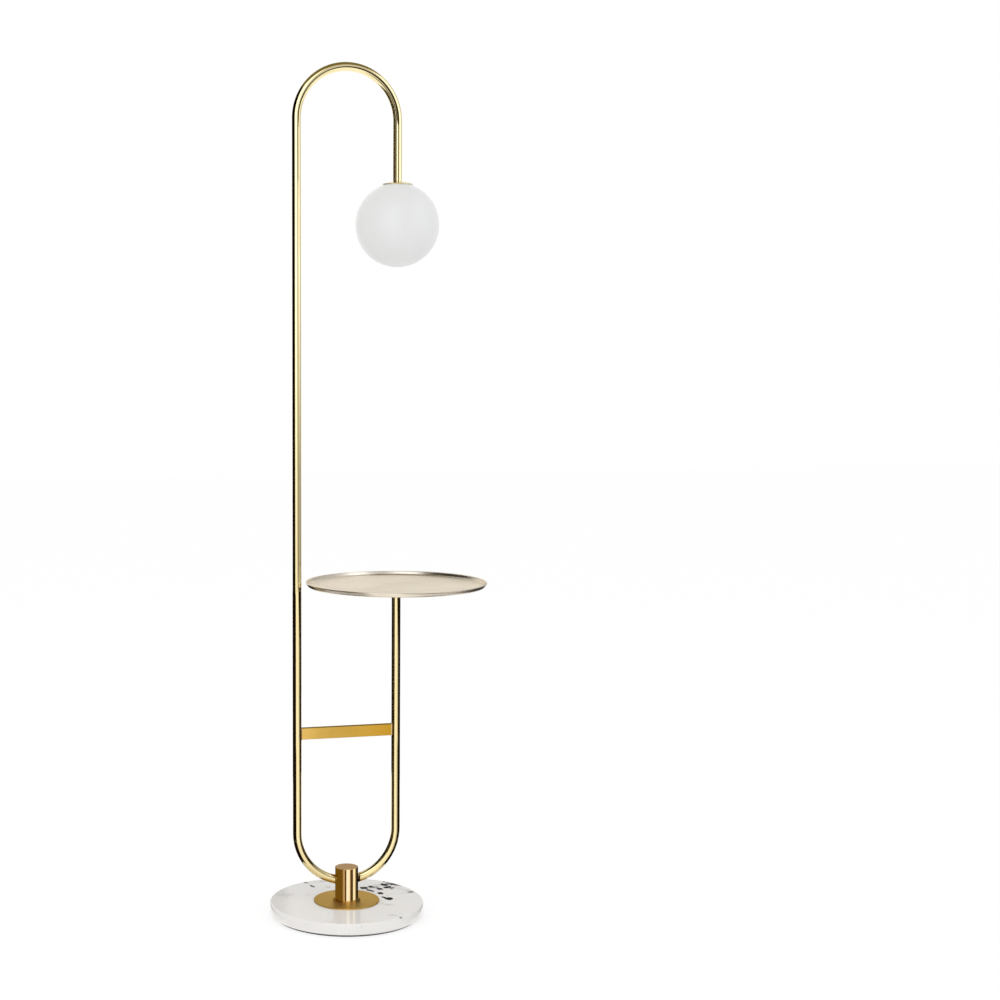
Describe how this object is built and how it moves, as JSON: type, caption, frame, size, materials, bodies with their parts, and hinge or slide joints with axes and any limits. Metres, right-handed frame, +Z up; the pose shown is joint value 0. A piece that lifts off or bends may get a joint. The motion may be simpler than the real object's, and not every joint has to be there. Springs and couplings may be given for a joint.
{
  "type": "arc floor lamp with tray",
  "caption": "Arc floor lamp: a brass tube loop rises from a round marble base, with a round tray on the short leg and an opal glass globe hanging from the arch.",
  "frame": {"origin": "on the floor under the middle of the round base", "axes": "+Z up; the loop of tube stands in the XZ plane with the pole at -X and the leg, tray and globe at +X; the front is -Y and the cable enters at +Y"},
  "size_m": [0.3975, 0.33, 1.538],
  "materials": {
    "pad_foam": "matt black foam sheet",
    "ballast_steel": "black powder coat",
    "zinc_steel": "zinc plated",
    "marble": "polished white marble with grey veins",
    "brass_disc": "satin, spun",
    "brass_post": "brushed round its length, lacquered",
    "brass_tube": "polished, lacquered",
    "brass_bar": "satin, lacquered",
    "brass_tray": "satin, lacquered",
    "brass_cap": "polished, lacquered",
    "machined_brass": "turned, bare",
    "nylon": "natural nylon",
    "silicone": "translucent silicone",
    "opal_glass": "satin opal glass",
    "lamp_ceramic": "unglazed white steatite",
    "spring_brass": "rolled strip",
    "bulb_plastic": "white moulded",
    "pin_nickel": "nickel plated",
    "clear_glass": "clear",
    "black_plastic": "moulded, fine texture",
    "block_plastic": "moulded polyamide",
    "wire_sleeve": "extruded sleeve"
  },
  "bodies": {
    "frame": {"base_pad": "pad_foam", "ballast_plate": "ballast_steel", "ballast_screws": "zinc_steel", "marble_base": "marble", "base_disc": "brass_disc", "tie_rod": "zinc_steel", "tie_washer": "zinc_steel", "tie_nut": "zinc_steel", "post": "brass_post", "post_grub_screws": "zinc_steel", "loop_tube_left": "brass_tube", "loop_tube_right": "brass_tube", "crossbar": "brass_bar", "pole_tube": "brass_tube", "arch_tube": "brass_tube", "pole_joiners": "machined_brass", "leg_plug": "machined_brass", "drop_plug": "machined_brass", "nipple": "zinc_steel", "globe_cap": "brass_cap", "shade_carrier": "machined_brass", "nipple_nut": "zinc_steel", "holder_bracket": "zinc_steel", "holder_screws": "zinc_steel", "holder_contacts": "spring_brass", "lampholder": "lamp_ceramic", "cable_gland": "black_plastic", "terminal_block": "block_plastic", "terminal_screws": "zinc_steel", "lamp_wire": "wire_sleeve"},
    "globe_gasket": {"globe_gasket": "silicone"},
    "globe": {"globe": "opal_glass"},
    "bulb": {"bulb_base": "bulb_plastic", "bulb_pins": "pin_nickel", "bulb_glass": "clear_glass"},
    "tray_washer": {"tray_washer": "nylon"},
    "tray": {"tray_dish": "brass_tray", "tray_hub": "machined_brass", "tray_stud": "zinc_steel"}
  },
  "joints": [
    {"name": "globe_drop", "type": "slide", "parent": "frame", "child": "globe_gasket", "axis": [0, 0, -1], "range_m": [0, 0.0125]},
    {"name": "globe_turn", "type": "hinge", "parent": "globe_gasket", "child": "globe", "pos_m": [0.0925, 0, 1.254], "axis": [0, 0, -1], "range_deg": [0, 1440]},
    {"name": "bulb_pull", "type": "slide", "parent": "frame", "child": "bulb", "axis": [0, 0, -1], "range_m": [0, 0.012]},
    {"name": "tray_lift", "type": "slide", "parent": "frame", "child": "tray_washer", "axis": [0, 0, 1], "range_m": [0, 0.0095]},
    {"name": "tray_turn", "type": "hinge", "parent": "tray_washer", "child": "tray", "pos_m": [0.0925, 0, 0.603], "axis": [0, 0, 1], "range_deg": [0, 2160]}
  ],
  "couplings": [
    {"joint": "globe_drop", "follows": "globe_turn", "m_per_rad": 0.00047746},
    {"joint": "tray_lift", "follows": "tray_turn", "m_per_rad": 0.00023873}
  ]
}
